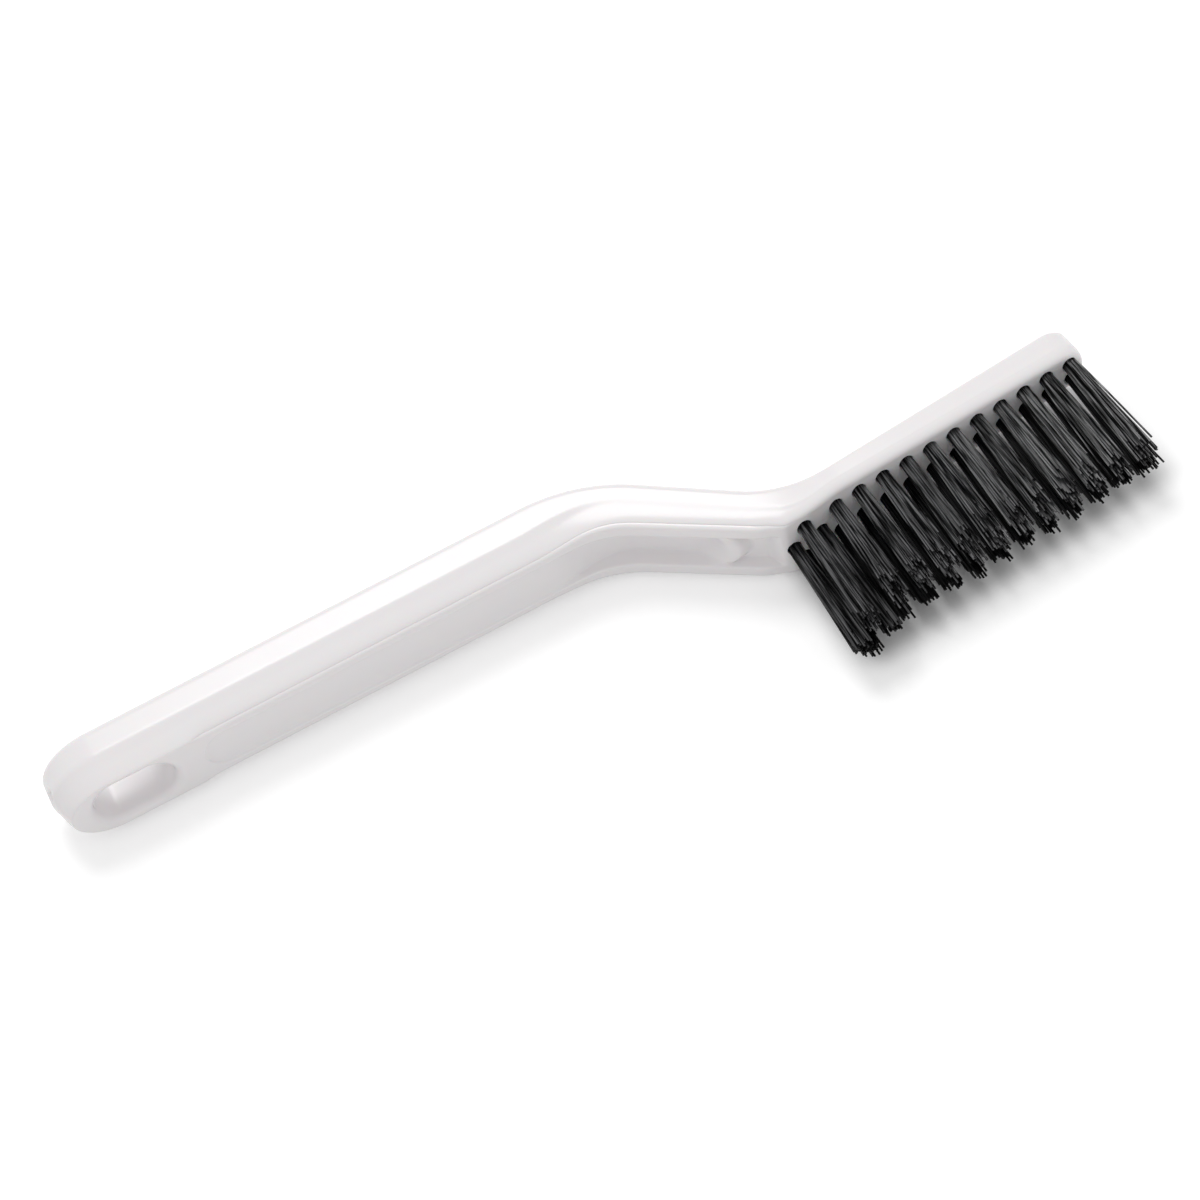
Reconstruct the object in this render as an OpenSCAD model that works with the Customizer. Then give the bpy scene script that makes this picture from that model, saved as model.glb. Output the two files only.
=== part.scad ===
// Crevice brush, lying on its side.
// X runs along the handle from the butt to the head, Y points from the bristles to the spine, Z is up.
// Every length is in millimetres. The flat sides of the grip and neck lie at z = 0 and z = grip_w.
// The shapes are drawn with the butt near x = 0, then set down with the middle of the grip's flat side
// at the origin.

/* [Grip] */
// Width over the two flat sides of the grip and neck
grip_w = 17.5; // [16:0.25:20]
// Height of the spine line above the frame's Y zero
spine_y = 27; // [26:0.25:28]
// Depth of the grip from the spine to the front of the raised rims
grip_depth = 13.2; // [12:0.1:14.5]
// Depth of the flat side, from the spine to the soft shoulder line
side_flat = 6.9; // [5.5:0.1:8]
// Radius of the two long spine corners
spine_round = 1.8; // [0.8:0.1:2.6]
// How far the shoulder comes in from the side at the rim crease
shoulder_in = 2.3; // [1.6:0.1:3]
// Length of the rounded butt
butt_length = 12; // [9:0.5:14]
// Place of the butt's outermost line along X
butt_x = 1.5; // [0:0.1:2]

/* [Rims and channel] */
// Height of the raised rims above the shoulder crease on the grip
rim_height = 0.7; // [0.3:0.05:1]
// Height of the raised rims above the shoulder crease on the neck
neck_rim_height = 1.1; // [0.6:0.05:1.5]
// Width of the channel between the rims
channel_w = 9.4; // [7:0.1:10]
// Depth of the channel along the grip
channel_depth = 0.6; // [0.6:0.1:2.5]
// Where the channel starts, with a round end
channel_x = 32; // [30:0.5:40]
// Depth of the long pocket under the neck
pocket_depth = 3.6; // [2:0.1:4.5]
// Depth of the short pocket behind the tuft block
heel_pocket_depth = 2.8; // [1:0.1:3.5]
// Depth left over the soft web between the two pockets
web_depth = 0.7; // [0.2:0.1:1.5]

/* [Hanging slot] */
// Start of the slot's straight walls along X
slot_x = 8.6; // [8:0.1:10]
// Length of the slot
slot_length = 17; // [12:0.1:19]
// Width of the slot
slot_w = 9.8; // [7:0.1:10]
// Rounding of the slot's front lip
slot_lip = 1.9; // [0.5:0.1:2.2]
// Rounding of the slot's spine lip
slot_back_lip = 2.2; // [0.5:0.1:2.2]

/* [Neck] */
// Slope of the neck's spine line, in degrees
neck_back_angle = 39.3; // [37:0.1:41]
// Place along X where the neck's spine line would meet the grip's spine line
neck_back_x = 120.2; // [119:0.1:122]
// Radius of the spine's outer bend
bend_back_r = 35; // [25:1:40]
// Slope of the neck's front line, in degrees
neck_front_angle = 36.8; // [35:0.1:38]
// Place along X where the neck's front line would meet the grip's front line
neck_front_x = 119.6; // [118:0.1:121]
// Radius of the front's inner bend
bend_front_r = 20; // [14:1:24]
// Depth of the flat side on the neck, measured square to the neck
neck_flat = 4.2; // [3.5:0.1:5]
// How far the neck's shoulder comes in from the side at the rim crease
neck_shoulder_in = 1.1; // [0.8:0.05:1.8]

/* [Head] */
// Height of the bristle face at the first pair of tufts
face_y = -4.91; // [-6:0.05:-4]
// Rise of the bristle face towards the tip, in degrees
face_angle = 5.28; // [4:0.1:7]
// Thickness of the head at the first pair of tufts
head_t = 6.1; // [5.7:0.1:7]
// Rise of the head's spine side towards the tip, in degrees
back_angle = 6.9; // [5.3:0.1:7.5]
// Width of the head at the first pair of tufts
head_w = 15.4; // [14.5:0.1:16.5]
// Width of the head at the start of its round tip
tip_w = 10.6; // [9:0.1:12]
// Length of the head past the centres of the tip pair of tufts
tip_past = 3.3; // [2.4:0.1:6]
// Height of the raised pad that carries the tufts by the neck
heel_pad = 1; // [0:0.1:1.4]
// Rounding of the long edges beside the bristle face
head_edge = 1.6; // [0.8:0.1:2]

/* [Tufts] */
// Place along X of the first pair of tufts
tuft_x = 161; // [160.5:0.1:161.5]
// Spacing of the pairs of tufts
tuft_pitch = 5.5; // [5.3:0.05:5.5]
// Distance between the two rows at the first pair
row_gap = 7.07; // [6.8:0.05:7.4]
// Distance between the two rows at the tip pair
tip_row_gap = 3.96; // [3.8:0.05:4.4]
// Diameter of a tuft at its root
tuft_d = 2.95; // [2.6:0.05:3.1]
// Depth of a tuft hole
hole_depth = 4; // [3.2:0.1:4.2]
// Gap all round between a tuft's root and its hole
root_gap = 0.06; // [0.04:0.01:0.1]
// Length of the bristles standing out at the first pair
bristle_length = 28.8; // [20:0.2:32]
// Extra length of the bristles at the tip pair
bristle_rise = -0.6; // [-2:0.1:1]
// How much shorter the bristles are at the outer sides of the rows than in the middle
side_trim = 8.4; // [0:0.5:11]
// How far the last pair's tips lean out past the head
tip_lean = 0.4; // [0:0.1:2]
// Width of one modelled strand
strand_w = 0.5; // [0.35:0.05:0.55]
// How far a tuft's tips spread, as a multiple of its root
spread = 1.75; // [1.1:0.05:1.8]

/* [Anchors] */
// Length of an anchor across its hole
anchor_l = 3.3; // [3.2:0.05:3.5]
// Height of an anchor
anchor_h = 1.2; // [0.8:0.1:1.5]
// Thickness of an anchor
anchor_t = 0.4; // [0.3:0.05:0.5]

/* [Hidden] */
$fn = 40;
half = grip_w / 2;
front_y = spine_y - grip_depth;
butt_centre = butt_x + butt_length;
tip_half = tip_w / 2;
pair_n = 11;
last_x = tuft_x + (pair_n - 1) * tuft_pitch;
tip_x = last_x + tip_past;
tip_reach = tip_half + 0.6;
tip_start = tip_x - tip_reach;
hole_r = tuft_d / 2 + root_gap;

// Soft step from 0 to 1 between a and b.
function ease(x, a, b) = let (t = min(1, max(0, (x - a) / (b - a)))) t * t * (3 - 2 * t);
function mix(a, b, t) = a + (b - a) * t;

// A line through [x, y] with a slope in degrees.
function line_y(x, p, slope) = p[1] + (x - p[0]) * tan(slope);

// Where two such lines meet.
function meet(p, sp, q, sq) = let (
    x = (q[1] - p[1] + p[0] * tan(sp) - q[0] * tan(sq)) / (tan(sp) - tan(sq))
  ) [x, line_y(x, p, sp)];

// Two lines joined at a corner by an arc of radius r. The first line has slope s1, the second s2.
function bend_y(x, corner, s1, s2, r) = let (
    run = r * tan(abs(s2 - s1) / 2),
    x1 = corner[0] - run * cos(s1),
    x2 = corner[0] + run * cos(s2),
    side = s2 > s1 ? 1 : -1,
    cx = x1 - side * r * sin(s1),
    cy = line_y(x1, corner, s1) + side * r * cos(s1)
  )
  x < x1 ? line_y(x, corner, s1)
  : x > x2 ? line_y(x, corner, s2)
  : cy - side * sqrt(max(0, r * r - (x - cx) * (x - cx)));

// The spine line and the front line, as heights over X.
neck_x = (neck_back_x + neck_front_x) / 2;
back_corner = [neck_back_x, spine_y];
head_back = [tuft_x, face_y + head_t];
heel_back = meet(back_corner, -neck_back_angle, head_back, back_angle);
function spine_line(x) = x < (back_corner[0] + heel_back[0]) / 2
  ? bend_y(x, back_corner, 0, -neck_back_angle, bend_back_r)
  : bend_y(x, heel_back, -neck_back_angle, back_angle, 20);
front_corner = [neck_front_x, front_y];
head_face = [tuft_x, face_y];
heel_front = meet(front_corner, -neck_front_angle, head_face, face_angle);
function face_line(x) = line_y(x, head_face, face_angle) - pad_rise(x);
function pad_rise(x) = heel_pad * ease(x, tuft_x - 15, tuft_x - 11) * (1 - ease(x, tuft_x - 7, tuft_x + 3));
function front_line(x) = x < (front_corner[0] + heel_front[0]) / 2
  ? bend_y(x, front_corner, 0, -neck_front_angle, bend_front_r)
  : bend_y(x, heel_front, -neck_front_angle, face_angle, 10) - pad_rise(x);

// The sections lean with the neck: this is how far a section's front lies behind its spine point.
lean = 5.7;
function section_shift(x) = let (head = ease(x, tuft_x - 19, tuft_x + 3))
  lean * ease(x, neck_x - 14, neck_x + 11) * (1 - head) - 0.55 * head;

// 0 on the grip, 1 on the neck, then 0 on the neck and 1 on the head.
function neck_part(x) = ease(x, neck_x - 16, neck_x + 8);
function head_part(x) = ease(x, tuft_x - 15, tuft_x);

// Half of the width, along X.
function half_width(x) = let (narrowed = ease(x, tuft_x - 13, tuft_x + 3))
  x < tuft_x ? mix(half, head_w / 2, narrowed)
  : mix(head_w, tip_w, (x - tuft_x) / (tip_start - tuft_x)) / 2 + (half - head_w / 2) * (1 - narrowed);

// Depth of the hollow between the rims, along X at the front and z from the middle.
// The web between the pockets bows towards the head in the middle.
function hollow(x, z) = let (
    v = x + web_bow * (1 - sqrt(max(0, 1 - pow(2 * z / (channel_w + 1), 2)))),
    start = channel_depth * sqrt(ease(x, channel_x - 0.2, channel_x + 1.2)),
    neck = (pocket_depth - channel_depth) * ease(x, neck_x - 12, neck_x + 2),
    web = (pocket_depth - web_depth) * ease(v, web_x - 3.5, web_x + 3.1),
    heel = (heel_pocket_depth - web_depth) * ease(v, web_x + 3.5, web_x + 5.9),
    block = heel_pocket_depth * ease(x, web_x + 7.3, web_x + 11.3)
  ) start + neck - web + heel - block;

web_x = tuft_x - 23.9;
web_bow = 5;

// Half of the hollow's width: it opens with a round end.
function hollow_half(x) = let (
    r = channel_w / 2,
    t = min(1, max(0, (x - channel_x) / r))
  ) max(1, r * sqrt(1 - (1 - t) * (1 - t)));

// One half of a section, from the spine to the middle of the front, as [depth, half width].
function quad(a, b, c, t) = a * (1 - t) * (1 - t) + b * 2 * t * (1 - t) + c * t * t;
function half_section(x, xb, deep) = let (
    n = neck_part(x),
    h = head_part(x),
    w = half_width(x),
    rim_start = ease(xb, channel_x - 3, channel_x + 2),
    rim = mix(mix(rim_height * rim_start, neck_rim_height, n), 0, ease(xb, tuft_x - 18, tuft_x - 8)),
    flat = mix(mix(side_flat, neck_flat, n), deep - head_edge - 0.9, h),
    crease = deep - rim,
    come_in = mix(mix(shoulder_in, neck_shoulder_in, n), head_edge, h),
    pad = 1 - rim_start,
    zc = w - come_in,
    facet = mix(mix(2.3, 1.4, n), 0.3, h),
    facet_in = mix(mix(0.75, 0.25, n), 0.05, h),
    r = mix(spine_round, 1, h),
    g = [flat + facet, w - facet_in],
    k = [crease, w - facet_in - (crease - flat - facet) * mix(0.26, 0.1, max(n, h))],
    e = [crease, zc + pad * 0.1],
    zf = min(hollow_half(xb), zc - 1.5),
    zw = zf - 0.75,
    d = hollow(xb, zf),
    lip = min(0.3, 0.28 * d)
  ) [
    [0, 0],
    for (a = [0 : 30 : 90]) [r - r * cos(a), w - r + r * sin(a)],
    [flat - 0.4, w],
    [flat + min(0.4, 0.5 * facet), w - 0.16 * facet_in],
    g,
    for (t = [0.35, 0.7]) quad(g, k, e, t),
    e,
    [crease + rim * 0.85, e[1] - 0.15],
    [deep, e[1] - 0.55],
    [deep, zf + 0.25],
    [deep - lip, zf],
    for (q = [1, 0.85, 0.5, 0]) [deep - hollow(xb, q * zw), q * zw]
  ];

// A half section set in space: the spine point, the way to the front, the way out and its angle.
// At an end, the section swings round to the middle, so the end is a full round.
function swing(x, swing_angle, out, reach) = let (
    xb = x - section_shift(x),
    top = [x, spine_line(x)],
    low = [xb, front_line(xb)],
    deep = norm(low - top),
    way = (low - top) / deep,
    w = half_width(x),
    s = half_section(x, xb, deep)
  ) [for (p = s) let (
    far = (reach - w + p[1]) * sin(swing_angle),
    at = top + way * p[0] + out * far
  ) [at[0], at[1], p[1] * cos(swing_angle)]];

grip_out = [-1, 0];
tip_out = [cos((face_angle + back_angle) / 2), sin((face_angle + back_angle) / 2)];
butt_angles = [90, 76, 63, 50, 37, 24, 12];
tip_angles = [16, 32, 48, 63, 77, 90];
stations = concat(
  [butt_centre],
  [for (u = [-3.5, -1.5, -0.3, 0.2, 0.7, 1.4, 2.6, 4.8, 28]) channel_x + u],
  [for (u = [-20, -14, -11, -8, -5, -2, 1, 4, 7, 10]) neck_x + u],
  [for (u = [-27, -24, -22, -20.5, -19, -17.8, -16.7, -15.8, -15, -14.2, -13.4, -12.6]) tuft_x + u],
  [for (u = [-11.5, -10.2, -8.8, -7, -5.2, -3.6, -2, -0.4, 1.2, 3, 11, 29]) tuft_x + u],
  [tip_start]
);
half_rows = concat(
  [for (a = butt_angles) swing(butt_centre, a, grip_out, butt_length)],
  [for (x = stations) swing(x, 0, grip_out, butt_length)],
  [for (a = tip_angles) swing(tip_start, a, tip_out, tip_reach)]
);

// A closed skin over half rows that are mirrored about the middle. The first and last rows lie on it.
module mirrored_skin(rows) {
  n = len(rows);
  m = len(rows[0]);
  ring = 2 * m - 2;
  points = concat(
    [for (p = rows[0]) [p[0], p[1], half]],
    [for (i = [1 : n - 2]) for (j = [0 : ring - 1])
      j < m ? [rows[i][j][0], rows[i][j][1], half + rows[i][j][2]]
      : [rows[i][ring - j][0], rows[i][ring - j][1], half - rows[i][ring - j][2]]],
    [for (p = rows[n - 1]) [p[0], p[1], half]]
  );
  last = m + (n - 2) * ring;
  function at(i, j) = let (q = (j + ring) % ring)
    i == 0 ? (q < m ? q : ring - q)
    : i == n - 1 ? last + (q < m ? q : ring - q)
    : m + (i - 1) * ring + q;
  // Each four-sided patch is split so that no facet lies along the middle line at the two ends.
  function inner(j) = j > 0 && j < m - 2;
  function split(i, j) = i == 0 ? j == 0 || j == m - 1 || inner(j)
    : i == n - 2 ? j == m - 2 || j == ring - 1 || inner(j)
    : j < m - 1;
  function patch(a, b, c, d, way) = way ? [[a, b, c], [a, c, d]] : [[a, b, d], [b, c, d]];
  faces = [for (i = [0 : n - 2]) for (j = [0 : ring - 1])
    each patch(at(i, j), at(i + 1, j), at(i + 1, j + 1), at(i, j + 1), split(i, j))];
  polyhedron(points = points, faces = faces, convexity = 8);
}

// Hanging slot: a straight round-ended opening whose lips flare out at both faces.
slot_r = slot_w / 2;
slot_mid = slot_x + slot_length / 2;
slot_run = slot_length / 2 - slot_r;
function slot_loop(y, grow, n) = [for (i = [0 : n - 1]) let (
    a = 360 * i / n,
    s = cos(a) >= 0 ? 1 : -1,
    r = slot_r + grow
  ) [slot_mid + s * slot_run + r * cos(a), y, half + r * sin(a)]];
module slot_cut() {
  n = 32;
  back = spine_y;
  levels = concat(
    [[front_y - 4, slot_lip]],
    [for (a = [0 : 30 : 90]) [front_y + slot_lip * sin(a), slot_lip * (1 - sin(acos(1 - sin(a))))]],
    [for (a = [90 : -30 : 0]) [back - slot_back_lip * sin(a), slot_back_lip * (1 - sin(acos(1 - sin(a))))]],
    [[back + 3, slot_back_lip]]
  );
  loops = [for (l = levels) slot_loop(l[0], l[1], n)];
  rows = len(loops);
  points = [for (l = loops) each l];
  sides = [for (i = [0 : rows - 2]) for (j = [0 : n - 1]) let (k = (j + 1) % n)
    [i * n + k, (i + 1) * n + k, (i + 1) * n + j, i * n + j]];
  ends = [[for (j = [n - 1 : -1 : 0]) j], [for (j = [0 : n - 1]) (rows - 1) * n + j]];
  polyhedron(points = points, faces = concat(sides, ends), convexity = 4);
}

// Tuft places as [x, z from the middle].
function pair_gap(i) = mix(row_gap, tip_row_gap, i / (pair_n - 1));
near = [for (i = [0 : pair_n - 1]) [tuft_x + i * tuft_pitch, pair_gap(i) / 2]];
far = [for (i = [0 : pair_n - 1]) [tuft_x + i * tuft_pitch, -pair_gap(i) / 2]];
heel_step = 4.1;
heel = [
  [tuft_x - 1.85 * heel_step, heel_step],
  [tuft_x - 1.05 * heel_step, -0.1],
  [tuft_x - 2.58 * heel_step, -0.2],
  [tuft_x - 2.12 * heel_step, -heel_step - 0.2]
];
tufts = concat(near, far, heel);

// Along +Y from the mouth of a tuft hole.
module at_mouth(p, y = 0) translate([p[0], face_line(p[0]) + y, half + p[1]]) rotate([-90, 0, 0]) children();

module anchor(p, gap = 0) {
  at_mouth(p, hole_depth - anchor_h - gap)
    translate([-anchor_l / 2 - gap, -anchor_t / 2 - gap, 0])
      cube([anchor_l + 2 * gap, anchor_t + 2 * gap, anchor_h + gap]);
}

// From the drawing's place to the part's own frame.
rest_x = 60;
rest_y = spine_y - side_flat / 2;
module set_down() translate([-rest_x, -rest_y, 0]) children();

module handle() {
  color([0.93, 0.93, 0.94])
  set_down() difference() {
    mirrored_skin(half_rows);
    slot_cut();
    for (p = tufts) {
      at_mouth(p, -2) cylinder(r = hole_r, h = hole_depth + 2, $fn = 12);
      anchor(p, 0.03);
    }
  }
}

module anchors() {
  color([0.75, 0.75, 0.77])
  set_down() for (p = tufts) anchor(p);
}

// Strand roots in a tuft: four in the middle and eight round them.
roots = concat(
  [for (i = [0 : 3]) 0.42 * [cos(90 * i + 20), sin(90 * i + 20)]],
  [for (i = [0 : 7]) 1.08 * [cos(45 * i + 8), sin(45 * i + 8)]]
);

// One three-sided strand through its root, a middle place and its tip, all as [x, y, z].
module strand(a, b, c, r, turn) {
  function ring(p, s) = [for (k = [0 : 2]) [p[0] + s * cos(120 * k + turn), p[1], p[2] + s * sin(120 * k + turn)]];
  polyhedron(
    points = concat(ring(a, r), ring(b, r), ring(c, r * 0.8)),
    faces = [
      [0, 1, 2], [8, 7, 6],
      [0, 3, 1], [1, 3, 4], [1, 4, 2], [2, 4, 5], [2, 5, 0], [0, 5, 3],
      [3, 6, 4], [4, 6, 7], [4, 7, 5], [5, 7, 8], [5, 8, 3], [3, 8, 6]
    ]
  );
}

// Height of the trim line in the middle plane, along X.
function trim_y(x) = let (t = (x - tuft_x) / (last_x - tuft_x))
  line_y(x, head_face, face_angle) - bristle_length - bristle_rise * max(0, t);

// The bristles are cut shorter towards both sides, least at the tip and by the neck.
function side_cut(x, z) = let (
    out = min(1, max(0, (abs(z) - 0.2 * row_gap) / (0.58 * row_gap))),
    share = x < tuft_x - 1 ? 0.34 : 1 - 0.55 * ease(x, last_x - 3 * tuft_pitch, last_x)
  ) side_trim * share * out;

// Root of a tuft with its strands. The tips end on the trim line, each a little different.
// Strands spread freely outwards, and less towards the middle plane between the rows.
module tuft(k) {
  p = tufts[k];
  mouth = face_line(p[0]);
  noise = rands(-1, 1, 4 * len(roots), 41 + k);
  lean = p[0] > last_x - 0.1 ? tip_lean : 0;
  color([0.05, 0.05, 0.055])
  set_down() {
    difference() {
      at_mouth(p, -0.35) cylinder(r = tuft_d / 2, h = hole_depth + 0.35 - 0.06, $fn = 12);
      anchor(p, 0.05);
    }
    for (i = [0 : len(roots) - 1]) {
      q = roots[i] * tuft_d / 2.95;
      inward = q[1] * p[1] < 0 && k < 2 * pair_n;
      s = 1 + (spread - 1) * (0.92 + 0.08 * noise[4 * i]);
      sz = inward ? 1.15 : s;
      tip_z = p[1] + q[1] * sz + 0.1 * noise[4 * i + 3];
      tip = [
        p[0] + q[0] * s + lean * (1 + 0.8 * q[0]) + 0.1 * noise[4 * i + 1],
        trim_y(p[0]) + side_cut(p[0], tip_z) + 0.8 * noise[4 * i + 2],
        half + tip_z
      ];
      root = [p[0] + q[0], mouth + 0.5, half + p[1] + q[1]];
      bow = 0.45;
      mid = [
        mix(root[0], tip[0], bow - 0.05),
        mix(root[1], tip[1], bow),
        mix(root[2], tip[2], bow - 0.05)
      ];
      strand(root, mid, tip, strand_w / 2, 37 * i);
    }
  }
}

module tuft_near_01() tuft(0);
module tuft_near_02() tuft(1);
module tuft_near_03() tuft(2);
module tuft_near_04() tuft(3);
module tuft_near_05() tuft(4);
module tuft_near_06() tuft(5);
module tuft_near_07() tuft(6);
module tuft_near_08() tuft(7);
module tuft_near_09() tuft(8);
module tuft_near_10() tuft(9);
module tuft_near_11() tuft(10);
module tuft_far_01() tuft(11);
module tuft_far_02() tuft(12);
module tuft_far_03() tuft(13);
module tuft_far_04() tuft(14);
module tuft_far_05() tuft(15);
module tuft_far_06() tuft(16);
module tuft_far_07() tuft(17);
module tuft_far_08() tuft(18);
module tuft_far_09() tuft(19);
module tuft_far_10() tuft(20);
module tuft_far_11() tuft(21);
module tuft_heel_1() tuft(22);
module tuft_heel_2() tuft(23);
module tuft_heel_3() tuft(24);
module tuft_heel_4() tuft(25);

handle();
anchors();
tuft_near_01();
tuft_near_02();
tuft_near_03();
tuft_near_04();
tuft_near_05();
tuft_near_06();
tuft_near_07();
tuft_near_08();
tuft_near_09();
tuft_near_10();
tuft_near_11();
tuft_far_01();
tuft_far_02();
tuft_far_03();
tuft_far_04();
tuft_far_05();
tuft_far_06();
tuft_far_07();
tuft_far_08();
tuft_far_09();
tuft_far_10();
tuft_far_11();
tuft_heel_1();
tuft_heel_2();
tuft_heel_3();
tuft_heel_4();
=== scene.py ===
import math
import bmesh
import bpy
import numpy as np
from mathutils import Matrix


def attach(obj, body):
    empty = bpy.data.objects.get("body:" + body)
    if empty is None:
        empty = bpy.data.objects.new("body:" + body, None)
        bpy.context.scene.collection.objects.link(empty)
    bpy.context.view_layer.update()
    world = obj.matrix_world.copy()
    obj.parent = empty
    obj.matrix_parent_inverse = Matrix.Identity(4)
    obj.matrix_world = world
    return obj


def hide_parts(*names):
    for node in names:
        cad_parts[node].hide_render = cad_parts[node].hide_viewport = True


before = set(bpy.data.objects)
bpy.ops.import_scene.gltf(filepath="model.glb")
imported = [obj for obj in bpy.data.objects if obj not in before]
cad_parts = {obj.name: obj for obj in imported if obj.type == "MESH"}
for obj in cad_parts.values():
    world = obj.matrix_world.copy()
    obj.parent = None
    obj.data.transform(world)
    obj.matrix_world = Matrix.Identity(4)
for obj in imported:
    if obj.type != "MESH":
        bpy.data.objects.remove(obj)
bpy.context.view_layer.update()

mm = 0.001
setDown = np.array([60.0, 23.55, 0.0])  # millimetres from the drawing's zero to the part's origin
print("frame loaded")


def linearFromHex(code):
    # each sRGB byte goes through the display curve and comes out as linear light
    parts = [int(code[i:i + 2], 16) / 255 for i in (1, 3, 5)]
    return tuple(c / 12.92 if c <= 0.04045 else ((c + 0.055) / 1.055) ** 2.4 for c in parts) + (1.0,)


def easeStep(x, a, b):
    # soft step: 3t^2 - 2t^3 for t from 0 at a to 1 at b
    t = np.clip((np.asarray(x, float) - a) / (b - a), 0, 1)
    return t * t * (3 - 2 * t)


def blendOf(a, b, t):
    return a + (b - a) * t


def addNode(tree, kind, place, inputs=None, **settings):
    # one node, with its settings by name and the values of its sockets by name or number
    node = tree.nodes.new(kind)
    node.location = place
    for name, value in settings.items():
        setattr(node, name, value)
    for key, value in (inputs or {}).items():
        node.inputs[key].default_value = value
    return node


def newMaterial(name):
    material = bpy.data.materials.new(name)
    material.use_nodes = True
    tree = material.node_tree
    tree.nodes.clear()
    out = addNode(tree, "ShaderNodeOutputMaterial", (900, 0))
    return material, tree, out


def meshObject(name, points, faces, smooth=True):
    # points in the drawing's millimetres are set down about the part's origin and become one mesh
    mesh = bpy.data.meshes.new(name)
    mesh.from_pydata(((np.asarray(points) - setDown) * mm).tolist(), [], faces)
    mesh.polygons.foreach_set("use_smooth", np.full(len(mesh.polygons), smooth))
    mesh.update()
    piece = bpy.data.objects.new(name, mesh)
    bpy.context.scene.collection.objects.link(piece)
    return piece


handleSizes = {
    "width": 17.5, "spineY": 27.0, "depth": 13.2, "sideFlat": 6.9, "spineRound": 1.8,
    "shoulderIn": 2.3, "buttLength": 12.0, "buttX": 1.5,
    "rimHeight": 0.7, "neckRimHeight": 1.1, "channelWidth": 9.4, "channelDepth": 0.6, "channelX": 32.0,
    "pocketDepth": 3.6, "heelPocketDepth": 2.8, "webDepth": 0.7, "webBow": 5.0,
    "slotX": 8.6, "slotLength": 17.0, "slotWidth": 9.8, "slotLip": 1.9, "slotBackLip": 2.2,
    "neckBackAngle": 39.3, "neckBackX": 120.2, "bendBackRadius": 35.0,
    "neckFrontAngle": 36.8, "neckFrontX": 119.6, "bendFrontRadius": 20.0,
    "neckFlat": 4.2, "neckShoulderIn": 1.1, "lean": 5.7, "headLean": 0.55,
    "facet": (2.3, 1.4, 0.3), "facetIn": (0.75, 0.25, 0.05), "facetBow": (0.26, 0.1),  # grip, neck, head
    "rimRound": 0.85, "lipRound": 0.42, "wallIn": 0.75, "webBack": 23.9,
    "headBendBack": 20.0, "headBendFront": 10.0,
    "faceY": -4.91, "faceAngle": 5.28, "headThickness": 6.1, "backAngle": 6.9,
    "headWidth": 15.4, "tipWidth": 10.6, "tipPast": 3.3, "headEdge": 1.6, "tipBulge": 0.6,
    "heelPad": 1.0, "padRun": (-15.0, -11.0, -7.0, 3.0),  # the pad rises and falls at these places from the tufts
}
tuftSizes = {
    "firstX": 161.0, "pitch": 5.5, "rowGap": 7.07, "tipRowGap": 3.96, "pairs": 11,
    "diameter": 2.95, "holeDepth": 4.0, "rootGap": 0.06, "length": 28.8, "rise": -0.6,
    "heelStep": 4.1, "sideTrim": 8.4, "trimFrom": 0.2, "trimOver": 0.58, "heelTrim": 0.34, "tipTrimLess": 0.55,
    "tipLean": 0.4, "spread": 1.7, "spreadInward": 1.15, "rootInside": 2.2, "holeClear": 0.05, "mouthFlare": 0.12,
    "filament": 0.44, "filamentsEach": 52, "seed": 700,
}
filamentVariety = {
    "root": 0.03, "spread": (0.8, 1.1), "clumps": 9, "clumpLean": 0.16, "lean": 0.14, "bow": 0.10,
    "cut": 0.4, "clumpCut": 0.55, "shortShare": 0.14, "shorter": (0.5, 3.5),
}
gateMark = {
    "y": 21.2, "aboveMiddle": 2.3, "radius": 1.15, "depth": 0.6, "nub": 0.4, "nubShare": 0.45, "reach": 6.0,
}
goldenTurn = 2.39996
half = handleSizes["width"] / 2
frontY = handleSizes["spineY"] - handleSizes["depth"]


def lineY(x, corner, slope):
    return corner[1] + (x - corner[0]) * math.tan(math.radians(slope))


def meetPoint(p, slopeP, q, slopeQ):
    # the place where two sloped lines cross
    tp, tq = math.tan(math.radians(slopeP)), math.tan(math.radians(slopeQ))
    x = (q[1] - p[1] + p[0] * tp - q[0] * tq) / (tp - tq)
    return (x, lineY(x, p, slopeP))


def bendLine(x, corner, slopeA, slopeB, radius):
    # a line of slope A, a tangent arc, then a line of slope B, as a height over x
    a, b = math.radians(slopeA), math.radians(slopeB)
    run = radius * math.tan(abs(b - a) / 2)
    xa, xb = corner[0] - run * math.cos(a), corner[0] + run * math.cos(b)
    side = 1 if slopeB > slopeA else -1
    cx = xa - side * radius * math.sin(a)
    cy = lineY(xa, corner, slopeA) + side * radius * math.cos(a)
    arc = cy - side * np.sqrt(np.maximum(0, radius ** 2 - (x - cx) ** 2))
    return np.where(x < xa, lineY(x, corner, slopeA), np.where(x > xb, lineY(x, corner, slopeB), arc))


h = handleSizes
backCorner = (h["neckBackX"], h["spineY"])
headBack = (tuftSizes["firstX"], h["faceY"] + h["headThickness"])
headFace = (tuftSizes["firstX"], h["faceY"])
heelBack = meetPoint(backCorner, -h["neckBackAngle"], headBack, h["backAngle"])
frontCorner = (h["neckFrontX"], frontY)
heelFront = meetPoint(frontCorner, -h["neckFrontAngle"], headFace, h["faceAngle"])
tipHalf = h["tipWidth"] / 2
tipReach = tipHalf + h["tipBulge"]
firstX = tuftSizes["firstX"]
lastX = firstX + (tuftSizes["pairs"] - 1) * tuftSizes["pitch"]
tipStart = lastX + h["tipPast"] - tipReach
neckX = (h["neckBackX"] + h["neckFrontX"]) / 2
webX = firstX - h["webBack"]
buttCentre = h["buttX"] + h["buttLength"]


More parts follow.
